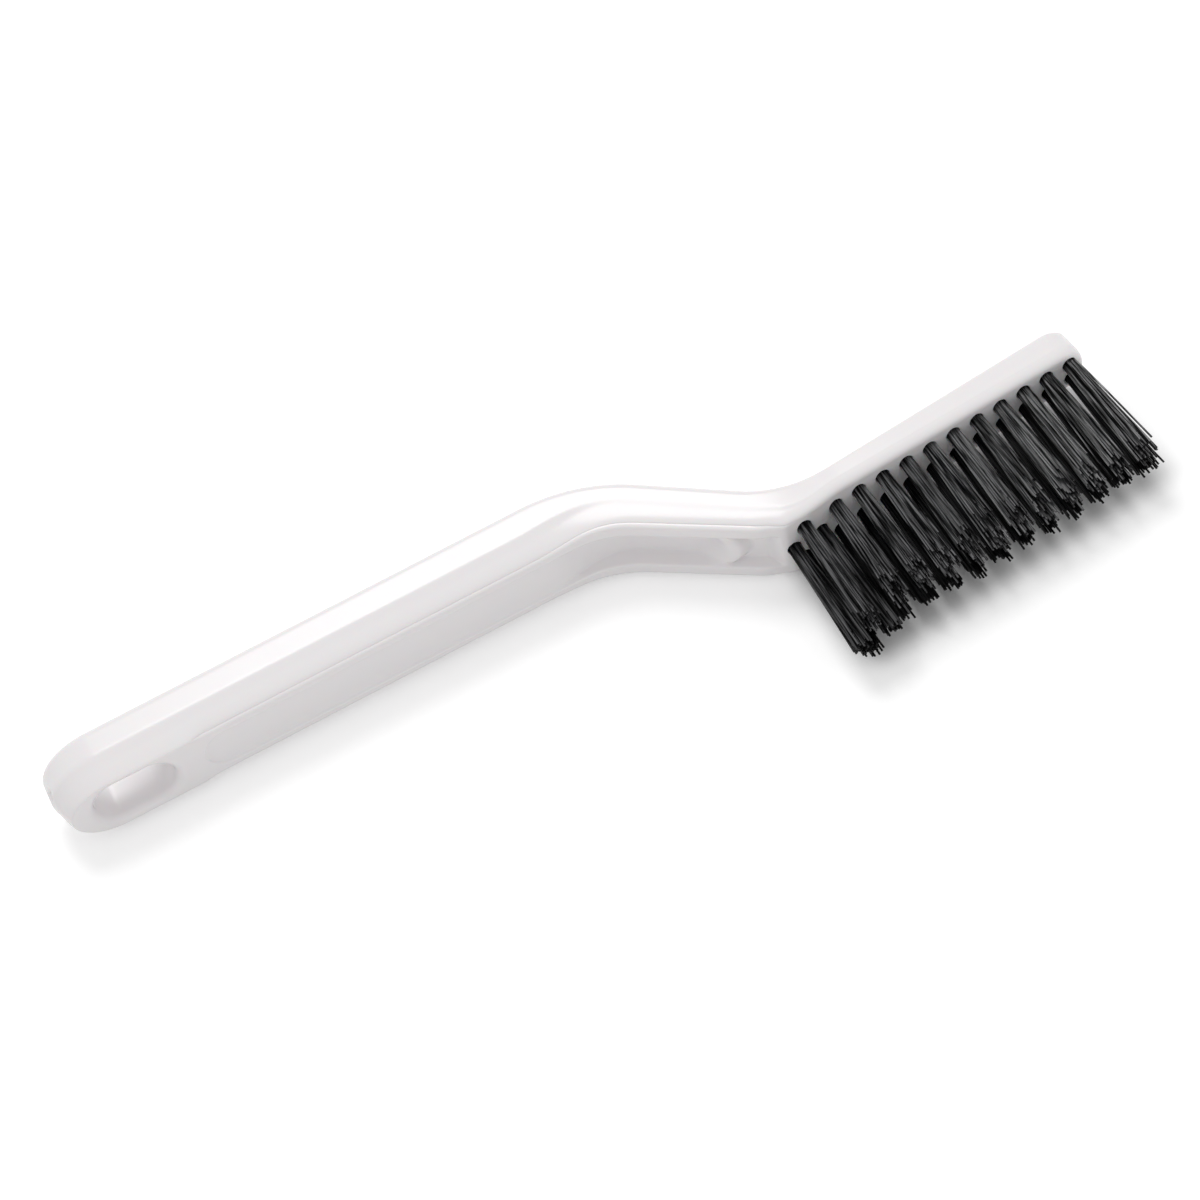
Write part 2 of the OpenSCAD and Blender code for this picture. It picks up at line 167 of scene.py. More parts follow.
def spineLine(x):
    grip = bendLine(x, backCorner, 0, -h["neckBackAngle"], h["bendBackRadius"])
    head = bendLine(x, heelBack, -h["neckBackAngle"], h["backAngle"], h["headBendBack"])
    return np.where(x < (backCorner[0] + heelBack[0]) / 2, grip, head)


def padRise(x):
    # the raised pad that carries the tufts by the neck
    a, b, c, d = (firstX + place for place in h["padRun"])
    return h["heelPad"] * easeStep(x, a, b) * (1 - easeStep(x, c, d))


def frontLine(x):
    grip = bendLine(x, frontCorner, 0, -h["neckFrontAngle"], h["bendFrontRadius"])
    head = bendLine(x, heelFront, -h["neckFrontAngle"], h["faceAngle"], h["headBendFront"])
    head = head - padRise(x)
    return np.where(x < (frontCorner[0] + heelFront[0]) / 2, grip, head)


def faceLine(x):
    return lineY(x, headFace, h["faceAngle"]) - padRise(x)


def halfWidth(x):
    # full on the grip and neck, eased down to the head, then a straight taper to the tip
    step = easeStep(x, firstX - 13, firstX + 3)
    taper = blendOf(h["headWidth"], h["tipWidth"], (x - firstX) / (tipStart - firstX)) / 2
    return np.where(x < firstX, blendOf(half, h["headWidth"] / 2, step),
                    taper + (half - h["headWidth"] / 2) * (1 - step))


def hollowDepth(x, z):
    # depth between the rims: channel, long pocket, bowed web, short pocket and tuft block in turn
    bow = h["webBow"] * (1 - np.sqrt(np.maximum(0, 1 - (2 * z / (h["channelWidth"] + 1)) ** 2)))
    v = x + bow
    start = h["channelDepth"] * np.sqrt(easeStep(x, h["channelX"] - 0.2, h["channelX"] + 1.2))
    neck = (h["pocketDepth"] - h["channelDepth"]) * easeStep(x, neckX - 12, neckX + 2)
    web = (h["pocketDepth"] - h["webDepth"]) * easeStep(v, webX - 3.5, webX + 3.1)
    heel = (h["heelPocketDepth"] - h["webDepth"]) * easeStep(v, webX + 3.5, webX + 5.9)
    block = h["heelPocketDepth"] * easeStep(x, webX + 7.3, webX + 11.3)
    return start + neck - web + heel - block


def hollowHalf(x):
    # half of the hollow's width, a quarter circle where it starts
    r = h["channelWidth"] / 2
    t = np.clip((x - h["channelX"]) / r, 0, 1)
    return np.maximum(1, r * np.sqrt(1 - (1 - t) ** 2))


def bezierRow(a, b, c, count, ends=(True, True)):
    # quadratic curve a(1-t)^2 + 2bt(1-t) + ct^2 at even steps of t, for every station at once
    t = np.linspace(0, 1, count)[(0 if ends[0] else 1):(count if ends[1] else count - 1)]
    return [tuple(p * (1 - u) ** 2 + 2 * q * u * (1 - u) + r * u * u for p, q, r in zip(a, b, c)) for u in t]


def gripToHead(sizes, n, k):
    # the grip's size, eased to the neck's by n and then to the head's by k
    return blendOf(blendOf(sizes[0], sizes[1], n), sizes[2], k)


def halfSections(x, xb, deep):
    # one half of each section, from the spine to the middle of the front, as (depth, half width)
    n, k = easeStep(x, neckX - 16, neckX + 8), easeStep(x, firstX - 15, firstX)
    w = halfWidth(x)
    rimStart = easeStep(xb, h["channelX"] - 3, h["channelX"] + 2)
    rim = gripToHead((h["rimHeight"] * rimStart, h["neckRimHeight"], 0), n, easeStep(xb, firstX - 18, firstX - 8))
    flat = gripToHead((h["sideFlat"], h["neckFlat"], deep - h["headEdge"] - 0.9), n, k)
    crease = deep - rim
    zc = w - gripToHead((h["shoulderIn"], h["neckShoulderIn"], h["headEdge"]), n, k)
    facet = gripToHead(h["facet"], n, k)
    facetIn = gripToHead(h["facetIn"], n, k)
    r = blendOf(h["spineRound"], 1.0, k)
    slope = blendOf(*h["facetBow"], np.maximum(n, k))
    g = (flat + facet, w - facetIn)
    e = (crease, zc + (1 - rimStart) * 0.1)
    bendPoint = (crease, w - facetIn - (crease - flat - facet) * slope)
    zf = np.minimum(hollowHalf(xb), zc - 1.5)
    d = hollowDepth(xb, zf)
    lip = np.minimum(h["lipRound"], 0.3 * d)
    zw = zf - h["wallIn"]
    zero = np.zeros_like(x)
    soft = np.minimum(0.55, 0.4 * facet)
    rows = [(zero, zero), (zero, (w - r) * 0.5)]
    for a in np.radians(np.linspace(0, 90, 9)):
        rows.append((r - r * math.cos(a), w - r + r * math.sin(a)))
    rows += [(blendOf(r, flat - soft, t), w) for t in np.linspace(0, 1, 11)[1:-1]]
    rows += bezierRow((flat - soft, w), (flat, w), (flat + soft, w - facetIn * soft / facet), 6)
    rows.append((flat + soft + (facet - soft) * 0.5, w - facetIn * (soft + (facet - soft) * 0.5) / facet))
    rows += bezierRow(g, bendPoint, e, 15)
    rows += bezierRow(e, (deep, e[1] - 0.04), (deep, e[1] - h["rimRound"]), 7, (False, True))
    rows += bezierRow((deep, zf + 0.45), (deep, zf), (deep - lip, zf - 0.12), 6)
    floorEdge = deep - hollowDepth(xb, zw)
    rows += bezierRow((deep - d + lip * 0.8, zf - 0.3), (deep - d, zf - 0.42), (floorEdge, zw), 5)
    for q in np.linspace(0.93, 0, 13):
        rows.append((deep - hollowDepth(xb, q * zw), q * zw))
    return np.stack([np.stack(np.broadcast_arrays(*p), -1) for p in rows], 1)


def placedSections(x, turn, out, reach):
    # sections lean with the neck; at an end they swing round to the middle and close a full round
    onHead = easeStep(x, firstX - 19, firstX + 3)
    shift = h["lean"] * easeStep(x, neckX - 14, neckX + 11) * (1 - onHead) - h["headLean"] * onHead
    xb = x - shift
    top = np.stack([x, spineLine(x)], -1)
    low = np.stack([xb, frontLine(xb)], -1)
    deep = np.linalg.norm(low - top, axis=-1)
    way = (low - top) / deep[:, None]
    section = halfSections(x, xb, deep)
    z = section[..., 1]
    far = (reach - halfWidth(x)[:, None] + z) * np.sin(turn)[:, None]
    flatPlace = top[:, None, :] + way[:, None, :] * section[..., :1] + np.array(out) * far[..., None]
    return np.concatenate([flatPlace, (z * np.cos(turn)[:, None])[..., None]], -1)


def skinRows():
    # stations from the butt to the tip, closer together where the form changes, as (from, to, count)
    stations = ((buttCentre, 30, 9), (30, 37, 43), (37, 104, 14), (104, 136, 44), (136, 160, 110),
                (160, tipStart, 34))
    middle = np.unique(np.round(np.concatenate([np.linspace(*run) for run in stations]), 4))
    buttTurn = np.radians(np.linspace(89.6, 3, 30))
    tipTurn = np.radians(np.linspace(4, 89.6, 22))
    tipAngle = math.radians((h["faceAngle"] + h["backAngle"]) / 2)
    grip = placedSections(np.full(len(buttTurn), buttCentre), buttTurn, (-1, 0), h["buttLength"])
    body = placedSections(middle, np.zeros(len(middle)), (-1, 0), h["buttLength"])
    tip = placedSections(np.full(len(tipTurn), tipStart), tipTurn,
                         (math.cos(tipAngle), math.sin(tipAngle)), tipReach)
    return np.concatenate([grip, body, tip])


def gateDimple(points):
    # the moulding gate's mark in the butt, pushed along x: depth exp(-s^4) less a nub, s = distance / radius
    g = gateMark
    near = np.linalg.norm(points[..., 1:] - np.array([g["y"], half + g["aboveMiddle"]]), axis=-1) / g["radius"]
    dent = g["depth"] * np.exp(-near ** 4) - g["nub"] * np.exp(-(near / g["nubShare"]) ** 4)
    moved = points.copy()
    moved[..., 0] += np.where(points[..., 0] < g["reach"], dent, 0)
    return moved


def gridQuads(rows, count):
    # the four corners of each quad between rings of points, as numbers in one long list of points
    i, j = np.meshgrid(np.arange(rows - 1), np.arange(count), indexing="ij")
    nextJ = (j + 1) % count
    return np.stack([i * count + j, i * count + nextJ, (i + 1) * count + nextJ, (i + 1) * count + j], -1)


def ringSkin(rows):
    # half rows are mirrored about the middle into rings, joined by quads and closed at both ends
    n, m = rows.shape[:2]
    mirrored = rows[:, -2:0:-1] * np.array([1, 1, -1])
    rings = np.concatenate([rows, mirrored], 1)
    rings[..., 2] += half
    rings = gateDimple(rings)
    count = rings.shape[1]
    faces = np.roll(gridQuads(n, count), -1, -1).reshape(-1, 4).tolist()
    for base, turned in ((0, False), ((n - 1) * count, True)):
        for q in range(m - 1):
            a, b = base + q, base + q + 1
            c, d = base + (count - q - 1) % count, base + (count - q) % count
            face = [a, b, c, d]
            face = [v for s, v in enumerate(face) if v not in face[:s]]
            faces.append(face[::-1] if turned else face)
    return rings.reshape(-1, 3), faces


def slotTool():
    # a round-ended opening whose lips flare as quarter circles at both faces
    r = h["slotWidth"] / 2
    mid = h["slotX"] + h["slotLength"] / 2
    run = h["slotLength"] / 2 - r
    turn = np.radians(np.linspace(0, 90, 10))
    lip, back = h["slotLip"], h["slotBackLip"]
    y = np.concatenate([[frontY - 4], frontY + lip * (1 - np.cos(turn)),
                        h["spineY"] - back * (1 - np.cos(turn[::-1])), [h["spineY"] + 3]])
    grow = np.concatenate([[lip], lip * (1 - np.sin(turn)), back * (1 - np.sin(turn[::-1])), [back]])
    around = np.radians(np.arange(0, 360, 5) + 2.5)
    side = np.where(np.cos(around) >= 0, 1, -1)
    x = mid + side * run + (r + grow[:, None]) * np.cos(around)
    z = half + (r + grow[:, None]) * np.sin(around)
    return gridTube(np.stack([x, np.broadcast_to(y[:, None], x.shape), z], -1))


def gridTube(points):
    # rings of points become one closed tube with flat ends
    n, count = points.shape[:2]
    faces = gridQuads(n, count).reshape(-1, 4).tolist()
    faces.append(list(range(count))[::-1])
    faces.append(list(range((n - 1) * count, n * count)))
    return points.reshape(-1, 3), faces


def tuftPlaces():
    # two rows that close in towards the tip, then four tufts by the neck, as (x, z from the middle)
    t = tuftSizes
    i = np.arange(t["pairs"])
    x = t["firstX"] + i * t["pitch"]
    z = blendOf(t["rowGap"], t["tipRowGap"], i / (t["pairs"] - 1)) / 2
    s = t["heelStep"]
    heel = np.array([[-1.85 * s, s], [-1.05 * s, -0.1], [-2.58 * s, -0.2], [-2.12 * s, -s - 0.2]]) + [firstX, 0]
    names = ["tuft_near_%02d" % (k + 1) for k in i] + ["tuft_far_%02d" % (k + 1) for k in i]
    names += ["tuft_heel_%d" % (k + 1) for k in range(4)]
    return np.concatenate([np.stack([x, z], -1), np.stack([x, -z], -1), heel]), names


def holeTools(places):
    # blind round holes along y, each with a slightly opened mouth
    t = tuftSizes
    around = np.radians(np.arange(0, 360, 10))
    r = t["diameter"] / 2 + t["rootGap"] + t["holeClear"]
    flare = t["mouthFlare"]
    levels = np.array([[-2.0, r + flare], [0.0, r + flare], [flare, r], [t["holeDepth"], r]])
    allPoints, allFaces, start = [], [], 0
    for x, z in places:
        y = faceLine(x) + levels[:, :1]
        px = x + levels[:, 1:] * np.cos(around)
        pz = half + z + levels[:, 1:] * np.sin(around)
        points, faces = gridTube(np.stack([px, np.broadcast_to(y, px.shape), pz], -1))
        allPoints.append(points)
        allFaces += [[v + start for v in f] for f in faces]
        start += len(points)
    return np.concatenate(allPoints), allFaces


def facesOut(piece):
    # faces are turned outwards after doubles are merged
    grid = bmesh.new()
    grid.from_mesh(piece.data)
    bmesh.ops.remove_doubles(grid, verts=grid.verts, dist=1e-7)
    bmesh.ops.dissolve_degenerate(grid, edges=grid.edges, dist=1e-7)
    bmesh.ops.recalc_face_normals(grid, faces=grid.faces)
    grid.to_mesh(piece.data)
    grid.free()


def cutAway(piece, tool):
    # the tool's solid is taken out of the piece and the tool is removed
    cut = piece.modifiers.new("cut", "BOOLEAN")
    cut.operation = "DIFFERENCE"
    cut.solver = "EXACT"
    cut.object = tool
    graph = bpy.context.evaluated_depsgraph_get()
    done = bpy.data.meshes.new_from_object(piece.evaluated_get(graph))
    piece.modifiers.clear()
    old = piece.data
    piece.data = done
    bpy.data.meshes.remove(old)
    bpy.data.objects.remove(tool)


def smoothFaces(piece, degrees):
    # shading is smooth, but for edges sharper than the angle
    piece.data.polygons.foreach_set("use_smooth", np.full(len(piece.data.polygons), True))
    piece.data.set_sharp_from_angle(angle=math.radians(degrees))


def makeHandle():
    points, faces = ringSkin(skinRows())
    piece = meshObject("handleMoulding", points, faces)
    facesOut(piece)
    for name, shape in (("slotTool", slotTool()), ("holeTools", holeTools(tuftPlaces()[0]))):
        tool = meshObject(name, *shape)
        facesOut(tool)
        cutAway(piece, tool)
    smoothFaces(piece, 38)
    return piece


def trimLine(x, z):
    # where the bristles end: parallel to the face in the middle, and cut shorter towards both sides
    t = tuftSizes
    along = np.maximum(0, (x - firstX) / (lastX - firstX))
    out = np.clip((np.abs(z) - t["trimFrom"] * t["rowGap"]) / (t["trimOver"] * t["rowGap"]), 0, 1)
    tipEase = easeStep(x, lastX - 3 * t["pitch"], lastX)
    share = np.where(x < firstX - 1, t["heelTrim"], 1 - t["tipTrimLess"] * tipEase)
    return lineY(x, headFace, h["faceAngle"]) - t["length"] - t["rise"] * along + t["sideTrim"] * share * out


def filamentPaths(index, place, random):
    # roots r = R sqrt((i + 0.5) / n) at golden turns; each path runs straight out of its hole and then splays
    t, v = tuftSizes, filamentVariety
    count = t["filamentsEach"]
    i = np.arange(count)
    radius = (t["diameter"] / 2 - t["filament"] * 0.55) * np.sqrt((i + 0.5) / count)
    turn = i * goldenTurn + index
    q = np.stack([radius * np.cos(turn), radius * np.sin(turn)], -1) + random.normal(0, v["root"], (count, 2))
    grow = 1 + (t["spread"] - 1) * random.uniform(*v["spread"], (count, 2))
    inward = (q[:, 1] * place[1] < 0) & (index < 2 * t["pairs"])
    grow[:, 1] = np.where(inward, t["spreadInward"], grow[:, 1])
    clump = random.integers(0, v["clumps"], count)  # neighbours that cling to one another near their tips
    clumpPull = random.normal(0, v["clumpLean"], (v["clumps"], 2))[clump]
    lean = random.normal(0, v["lean"], (count, 2)) + clumpPull
    if index in (t["pairs"] - 1, 2 * t["pairs"] - 1):
        lean = lean + np.stack([t["tipLean"] * (1 + 0.8 * q[:, 0]), np.zeros(count)], -1)
    reach = q * grow + lean
    cut = random.normal(0, v["cut"], count) + random.normal(0, v["clumpCut"], v["clumps"])[clump]
    cut = cut + np.where(random.random(count) < v["shortShare"], random.uniform(*v["shorter"], count), 0)
    tipY = trimLine(place[0], place[1] + reach[:, 1]) + cut
    s = np.linspace(0, 1, 7) ** 0.9
    opened = (s ** 0.9)[None, :, None]
    start = faceLine(place[0]) + t["rootInside"]
    y = start + (tipY[:, None] - start) * s
    bow = random.normal(0, v["bow"], (count, 2))[:, None, :] * (np.sin(np.pi * s))[:, None]
    xz = q[:, None, :] * (1 - opened) + reach[:, None, :] * opened + bow
    return np.stack([place[0] + xz[..., 0], y, half + place[1] + xz[..., 1]], -1)


def tubesAlong(paths, radius, sides=5):
    # each path gets a ring of points round it at every step, all in one array
    around = np.arange(sides) * 2 * np.pi / sides
    ringX, ringZ = radius * np.cos(around), radius * np.sin(around)
    count, steps = paths.shape[:2]
    points = np.repeat(paths[:, :, None, :], sides, 2)
    points[..., 0] += ringX
    points[..., 2] += ringZ
    base = np.arange(count)[:, None, None] * steps * sides
    faces = (base[..., None] + gridQuads(steps, sides)[None]).reshape(-1, 4).tolist()
    first = base[:, 0, 0][:, None] + np.arange(sides)[::-1]
    last = base[:, 0, 0][:, None] + (steps - 1) * sides + np.arange(sides)
    return points.reshape(-1, 3), faces + first.tolist() + last.tolist()


def makeTufts(material):
    places, names = tuftPlaces()
    made = []
    for index, (place, name) in enumerate(zip(places, names)):
        random = np.random.default_rng(tuftSizes["seed"] + index)
        paths = filamentPaths(index, place, random)
        points, faces = tubesAlong(paths, tuftSizes["filament"] / 2)
        piece = meshObject("filaments_" + name[5:], points, faces)
        facesOut(piece)
        smoothFaces(piece, 60)
        piece.data.materials.append(material)
        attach(piece, "root")
        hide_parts(name)
        made.append(piece)
    return made


def turnedTo(right, up, back, place):
    # a camera or lamp at a place, looking the other way from back
    return Matrix([[right[i], up[i], back[i], place[i]] for i in range(3)] + [[0, 0, 0, 1]])


plasticLook = {
    "colour": "#F3F0F1", "ior": 1.49, "roughness": 0.2, "glossier": 0.03, "rougher": 0.05,
    "subsurface": 0.12, "subsurfaceMm": 2.0,
    "waveMm": 9.6, "waveBump": 0.035, "waveBumpMm": 0.5, "grainMm": 1.4, "grainBump": 0.02, "grainBumpMm": 0.1,
}


def whitePlastic():
    # white polypropylene, injection moulded in a polished mould: a soft gloss that varies a little,
    # faint long waves where it shrank, and a fine skin drawn coarser than real so that it shows
    look = plasticLook
    material, tree, out = newMaterial("whitePolypropylene")
    where = addNode(tree, "ShaderNodeTexCoord", (-900, 0))
    waves = addNode(tree, "ShaderNodeTexNoise", (-600, -200), {"Scale": 1000 / look["waveMm"], "Detail": 2.0})
    grain = addNode(tree, "ShaderNodeTexNoise", (-600, -450), {"Scale": 1000 / look["grainMm"], "Detail": 3.0})
    gloss = addNode(tree, "ShaderNodeMapRange", (-300, -100), {
        "To Min": look["roughness"] - look["glossier"], "To Max": look["roughness"] + look["rougher"]})
    waveBump = addNode(tree, "ShaderNodeBump", (0, -300), {
        "Strength": look["waveBump"], "Distance": look["waveBumpMm"] * mm})
    grainBump = addNode(tree, "ShaderNodeBump", (200, -300), {
        "Strength": look["grainBump"], "Distance": look["grainBumpMm"] * mm})
    shader = addNode(tree, "ShaderNodeBsdfPrincipled", (500, 0), {
        "Base Color": linearFromHex(look["colour"]), "IOR": look["ior"],
        "Subsurface Weight": look["subsurface"], "Subsurface Scale": look["subsurfaceMm"] * mm})
    link = tree.links.new
    link(where.outputs["Object"], waves.inputs["Vector"])
    link(where.outputs["Object"], grain.inputs["Vector"])
    link(waves.outputs["Fac"], gloss.inputs["Value"])
    link(gloss.outputs["Result"], shader.inputs["Roughness"])
    link(waves.outputs["Fac"], waveBump.inputs["Height"])
    link(grain.outputs["Fac"], grainBump.inputs["Height"])
    link(waveBump.outputs["Normal"], grainBump.inputs["Normal"])
    link(grainBump.outputs["Normal"], shader.inputs["Normal"])
    link(shader.outputs["BSDF"], out.inputs["Surface"])
    return material


nylonLook = {
    "dark": "#050505", "light": "#404042", "ior": 1.53, "roughness": 0.27, "dullRougher": 0.12,
    "streakMm": 0.42, "streakSquash": 0.035, "streakFrom": 0.42, "streakTo": 0.62,
    "shineLow": 0.02, "shineHigh": 0.7, "paintedShadeBelowMm": 8.0, "paintedShadeEndsAboveMm": 11.0, "paintedShadeShare": 0.12,
}


def blackNylon():
    # black nylon, drawn into filaments: streaks about one filament wide and long in y part those that catch
    # the light from dull ones. Below a height the filaments are painted darker and duller: painted shade on the
    # row near the floor, which lies in the near row's shade.
    look = nylonLook
    material, tree, out = newMaterial("blackNylonFilament")
    where = addNode(tree, "ShaderNodeTexCoord", (-1100, 0))
    stretch = addNode(tree, "ShaderNodeMapping", (-900, 0), {"Scale": (1, look["streakSquash"], 1)})
    streak = addNode(tree, "ShaderNodeTexNoise", (-700, 0), {"Scale": 1000 / look["streakMm"], "Detail": 2.0})
    part = addNode(tree, "ShaderNodeMapRange", (-500, 0), {
        "From Min": look["streakFrom"], "From Max": look["streakTo"]})
    axes = addNode(tree, "ShaderNodeSeparateXYZ", (-700, 250))
    # painted shade: low filaments, those of the far row, get a darker tone, less shine and more roughness
    paintedShadeByHeight = addNode(tree, "ShaderNodeMapRange", (-500, 250), {
        "From Min": look["paintedShadeBelowMm"] * mm, "From Max": look["paintedShadeEndsAboveMm"] * mm,
        "To Min": look["paintedShadeShare"], "To Max": 1.0})
    # the random streaks times the painted shade by height
    streakAndPaintedShade = addNode(tree, "ShaderNodeMath", (-350, 100), operation="MULTIPLY")
    tone = addNode(tree, "ShaderNodeValToRGB", (-200, 200))
    tone.color_ramp.elements[0].color = linearFromHex(look["dark"])
    tone.color_ramp.elements[1].color = linearFromHex(look["light"])
    gloss = addNode(tree, "ShaderNodeMapRange", (-200, -50), {
        "To Min": look["roughness"] + look["dullRougher"], "To Max": look["roughness"]})
    shine = addNode(tree, "ShaderNodeMapRange", (-200, -300), {
        "To Min": look["shineLow"], "To Max": look["shineHigh"]})
    shader = addNode(tree, "ShaderNodeBsdfPrincipled", (400, 0), {"IOR": look["ior"]})
    link = tree.links.new
    link(where.outputs["Object"], stretch.inputs["Vector"])
    link(stretch.outputs["Vector"], streak.inputs["Vector"])
    link(streak.outputs["Fac"], part.inputs["Value"])
    link(where.outputs["Object"], axes.inputs["Vector"])
    link(axes.outputs["Z"], paintedShadeByHeight.inputs["Value"])
    link(part.outputs["Result"], streakAndPaintedShade.inputs[0])
    link(paintedShadeByHeight.outputs["Result"], streakAndPaintedShade.inputs[1])
    for node in (gloss, shine):
        link(streakAndPaintedShade.outputs["Value"], node.inputs["Value"])
    link(streakAndPaintedShade.outputs["Value"], tone.inputs["Fac"])
    link(tone.outputs["Color"], shader.inputs["Base Color"])
    link(gloss.outputs["Result"], shader.inputs["Roughness"])
    link(shine.outputs["Result"], shader.inputs["Specular IOR Level"])
    link(shader.outputs["BSDF"], out.inputs["Surface"])
    return material


steelLook = {"colour": "#B9BBBE", "roughness": 0.32, "glossier": 0.08, "rougher": 0.1,
             "linesPerMetre": 6000.0, "lineSquash": 0.1}


def flatSteel():
    # plain steel wire, rolled flat: grey metal with fine rolling lines, which vary its gloss
    look = steelLook
    material, tree, out = newMaterial("rolledSteelWire")
    where = addNode(tree, "ShaderNodeTexCoord", (-700, 0))
    stretch = addNode(tree, "ShaderNodeMapping", (-500, 0), {"Scale": (look["lineSquash"], 1, 1)})
    lines = addNode(tree, "ShaderNodeTexNoise", (-300, 0), {"Scale": look["linesPerMetre"], "Detail": 2.0})
    gloss = addNode(tree, "ShaderNodeMapRange", (0, 0), {
        "To Min": look["roughness"] - look["glossier"], "To Max": look["roughness"] + look["rougher"]})
    shader = addNode(tree, "ShaderNodeBsdfPrincipled", (400, 0), {
        "Base Color": linearFromHex(look["colour"]), "Metallic": 1.0})
    link = tree.links.new
    link(where.outputs["Object"], stretch.inputs["Vector"])
    link(stretch.outputs["Vector"], lines.inputs["Vector"])
    link(lines.outputs["Fac"], gloss.inputs["Value"])
    link(gloss.outputs["Result"], shader.inputs["Roughness"])
    link(shader.outputs["BSDF"], out.inputs["Surface"])
    return material


floorLook = {
    "halfMm": 6000.0, "colour": "#F0F0F0", "lift": 0.33, "paintedShadowFadeMm": 7.0,
    "paintedShadowMiddle": (126.0, -38.0), "paintedShadowHalf": (32.0, 13.0), "paintedShadowTurn": 5.3,
}


def backgroundRays(tree, x, y):
    # 1 for rays that show the background: straight from the camera, mirrored, or through clear material
    seen = addNode(tree, "ShaderNodeLightPath", (x, y))
    mirrored = addNode(tree, "ShaderNodeMath", (x + 200, y), operation="MAXIMUM")
    through = addNode(tree, "ShaderNodeMath", (x + 400, y), operation="MAXIMUM")
    tree.links.new(seen.outputs["Is Camera Ray"], mirrored.inputs[0])
    tree.links.new(seen.outputs["Is Glossy Ray"], mirrored.inputs[1])
    tree.links.new(mirrored.outputs["Value"], through.inputs[0])
    tree.links.new(seen.outputs["Is Transmission Ray"], through.inputs[1])
    return through.outputs["Value"]


def makeFloor():
    # matt white paper under the brush. What the camera sees of it is lifted to white and keeps the shadow.
    # Under the bristles the lift fades out as painted shadow: distance from a rectangle, run from 0 to 1 over the
    # fade.
    look = floorLook
    side = look["halfMm"]
    points = [(-side, -side, 0), (side, -side, 0), (side, side, 0), (-side, side, 0)]
    floor = meshObject("floorSheet", points, [[0, 1, 2, 3]], smooth=False)
    material, tree, out = newMaterial("paperFloor")
    matte = addNode(tree, "ShaderNodeBsdfDiffuse", (0, 0), {"Color": linearFromHex(look["colour"])})
    lift = addNode(tree, "ShaderNodeEmission", (0, -200))
    amount = addNode(tree, "ShaderNodeMath", (-250, -200), {1: look["lift"]}, operation="MULTIPLY")
    both = addNode(tree, "ShaderNodeAddShader", (300, 0))
    # painted shadow: inside a rectangle under the bristles the lift is taken away, and it comes back over the
    # fade
    where = addNode(tree, "ShaderNodeTexCoord", (-1500, -500))
    middle = addNode(tree, "ShaderNodeMapping", (-1300, -500), vector_type="TEXTURE")
    middle.inputs["Location"].default_value = (look["paintedShadowMiddle"][0] * mm, look["paintedShadowMiddle"][1] * mm, 0)
    middle.inputs["Rotation"].default_value = (0, 0, math.radians(look["paintedShadowTurn"]))
    size = addNode(tree, "ShaderNodeVectorMath", (-1100, -500), operation="ABSOLUTE")
    past = addNode(tree, "ShaderNodeVectorMath", (-900, -500), operation="SUBTRACT")
    past.inputs[1].default_value = (look["paintedShadowHalf"][0] * mm, look["paintedShadowHalf"][1] * mm, 0)
    outside = addNode(tree, "ShaderNodeVectorMath", (-700, -500), operation="MAXIMUM")
    outside.inputs[1].default_value = (0, 0, 0)
    away = addNode(tree, "ShaderNodeVectorMath", (-500, -500), operation="LENGTH")
    paintedShadowFade = addNode(tree, "ShaderNodeMapRange", (-300, -500), {"From Max": look["paintedShadowFadeMm"] * mm},
                   interpolation_type="SMOOTHSTEP")
    liftLessPaintedShadow = addNode(tree, "ShaderNodeMath", (-100, -350), operation="MULTIPLY")
    link = tree.links.new
    link(where.outputs["Object"], middle.inputs["Vector"])
    link(middle.outputs["Vector"], size.inputs[0])
    link(size.outputs["Vector"], past.inputs[0])
    link(past.outputs["Vector"], outside.inputs[0])
    link(outside.outputs["Vector"], away.inputs[0])
    link(away.outputs["Value"], paintedShadowFade.inputs["Value"])
    link(paintedShadowFade.outputs["Result"], liftLessPaintedShadow.inputs[0])
    link(amount.outputs["Value"], liftLessPaintedShadow.inputs[1])
    link(backgroundRays(tree, -900, -200), amount.inputs[0])
    link(liftLessPaintedShadow.outputs["Value"], lift.inputs["Strength"])
    link(matte.outputs["BSDF"], both.inputs[0])
    link(lift.outputs["Emission"], both.inputs[1])
    link(both.outputs["Shader"], out.inputs["Surface"])
    floor.data.materials.append(material)


studio = {
    "worldLight": 0.62, "worldSeen": 1.0, "aim": (0.05, -0.02, 0.0),
    "keyPower": 4.2, "keySize": 0.55, "keyPlace": (0.14, 0.56, 0.96),
    "fillPower": 0.6, "fillSize": 0.5, "fillPlace": (0.05, -1.0, 0.35),
}


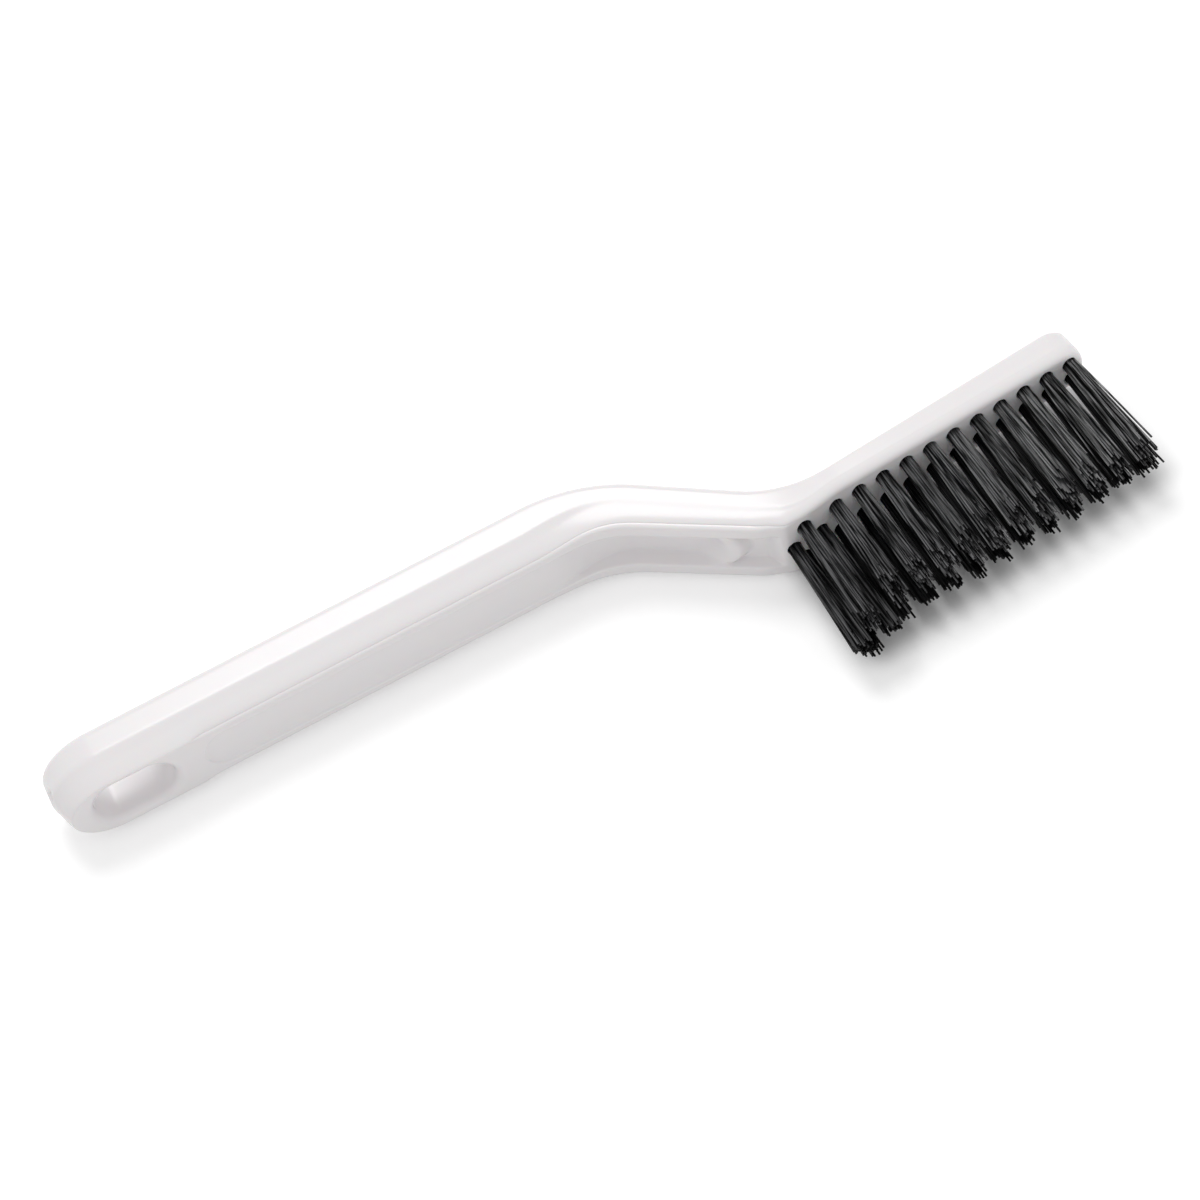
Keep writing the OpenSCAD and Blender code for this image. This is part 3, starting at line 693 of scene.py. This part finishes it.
def makeLights():
    world = bpy.data.worlds.new("softRoom")
    bpy.context.scene.world = world
    world.use_nodes = True
    tree = world.node_tree
    tree.nodes.clear()
    white = (1, 1, 1, 1)
    out = addNode(tree, "ShaderNodeOutputWorld", (600, 0))
    light = addNode(tree, "ShaderNodeBackground", (0, 100), {"Color": white, "Strength": studio["worldLight"]})
    shown = addNode(tree, "ShaderNodeBackground", (0, -100), {"Color": white, "Strength": studio["worldSeen"]})
    pick = addNode(tree, "ShaderNodeMixShader", (300, 0))
    tree.links.new(backgroundRays(tree, -300, 200), pick.inputs[0])
    tree.links.new(light.outputs["Background"], pick.inputs[1])
    tree.links.new(shown.outputs["Background"], pick.inputs[2])
    tree.links.new(pick.outputs["Shader"], out.inputs["Surface"])
    target = np.array(studio["aim"])
    for name in ("key", "fill"):
        lamp = bpy.data.lights.new(name + "Softbox", "AREA")
        lamp.shape = "DISK"
        lamp.size = studio[name + "Size"]
        lamp.energy = studio[name + "Power"]
        holder = bpy.data.objects.new(name + "Softbox", lamp)
        place = np.array(studio[name + "Place"])
        back = (place - target) / np.linalg.norm(place - target)
        right = np.cross((0, 1, 0), back)
        right /= np.linalg.norm(right)
        holder.matrix_world = turnedTo(right, np.cross(back, right), back, place)
        bpy.context.scene.collection.objects.link(holder)


cameraView = {
    "right": (0.881582, -0.424890, -0.205623), "up": (0.459438, 0.672427, 0.580309),
    "back": (-0.108301, -0.606061, 0.788011), "place": (-0.009863, -0.371322, 0.465747),
    "lensMm": 90, "sensorMm": 36, "clipStart": 0.01, "clipEnd": 50,
}


def makeCamera():
    # a long lens from the bristle side, 52 degrees above the floor, turned about 20 degrees
    view = cameraView
    lens = bpy.data.cameras.new("photoCamera")
    lens.sensor_fit = "HORIZONTAL"
    lens.sensor_width = view["sensorMm"]
    lens.lens = view["lensMm"]
    lens.clip_start = view["clipStart"]
    lens.clip_end = view["clipEnd"]
    camera = bpy.data.objects.new("photoCamera", lens)
    camera.matrix_world = turnedTo(view["right"], view["up"], view["back"], view["place"])
    bpy.context.scene.collection.objects.link(camera)
    bpy.context.scene.camera = camera


bpy.context.scene.view_settings.view_transform = "Standard"
makeCamera()
makeFloor()
makeLights()
print("camera, floor and lights ready")

handle = makeHandle()
handle.data.materials.clear()
handle.data.materials.append(whitePlastic())
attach(handle, "root")
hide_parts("handle")
print("handle ready:", len(handle.data.polygons), "faces")

tufts = makeTufts(blackNylon())
print("tufts ready:", len(tufts), "pieces,", sum(len(t.data.polygons) for t in tufts), "faces")

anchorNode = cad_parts["anchors"]
anchorNode.data.materials.clear()
anchorNode.data.materials.append(flatSteel())
print("anchors finished")
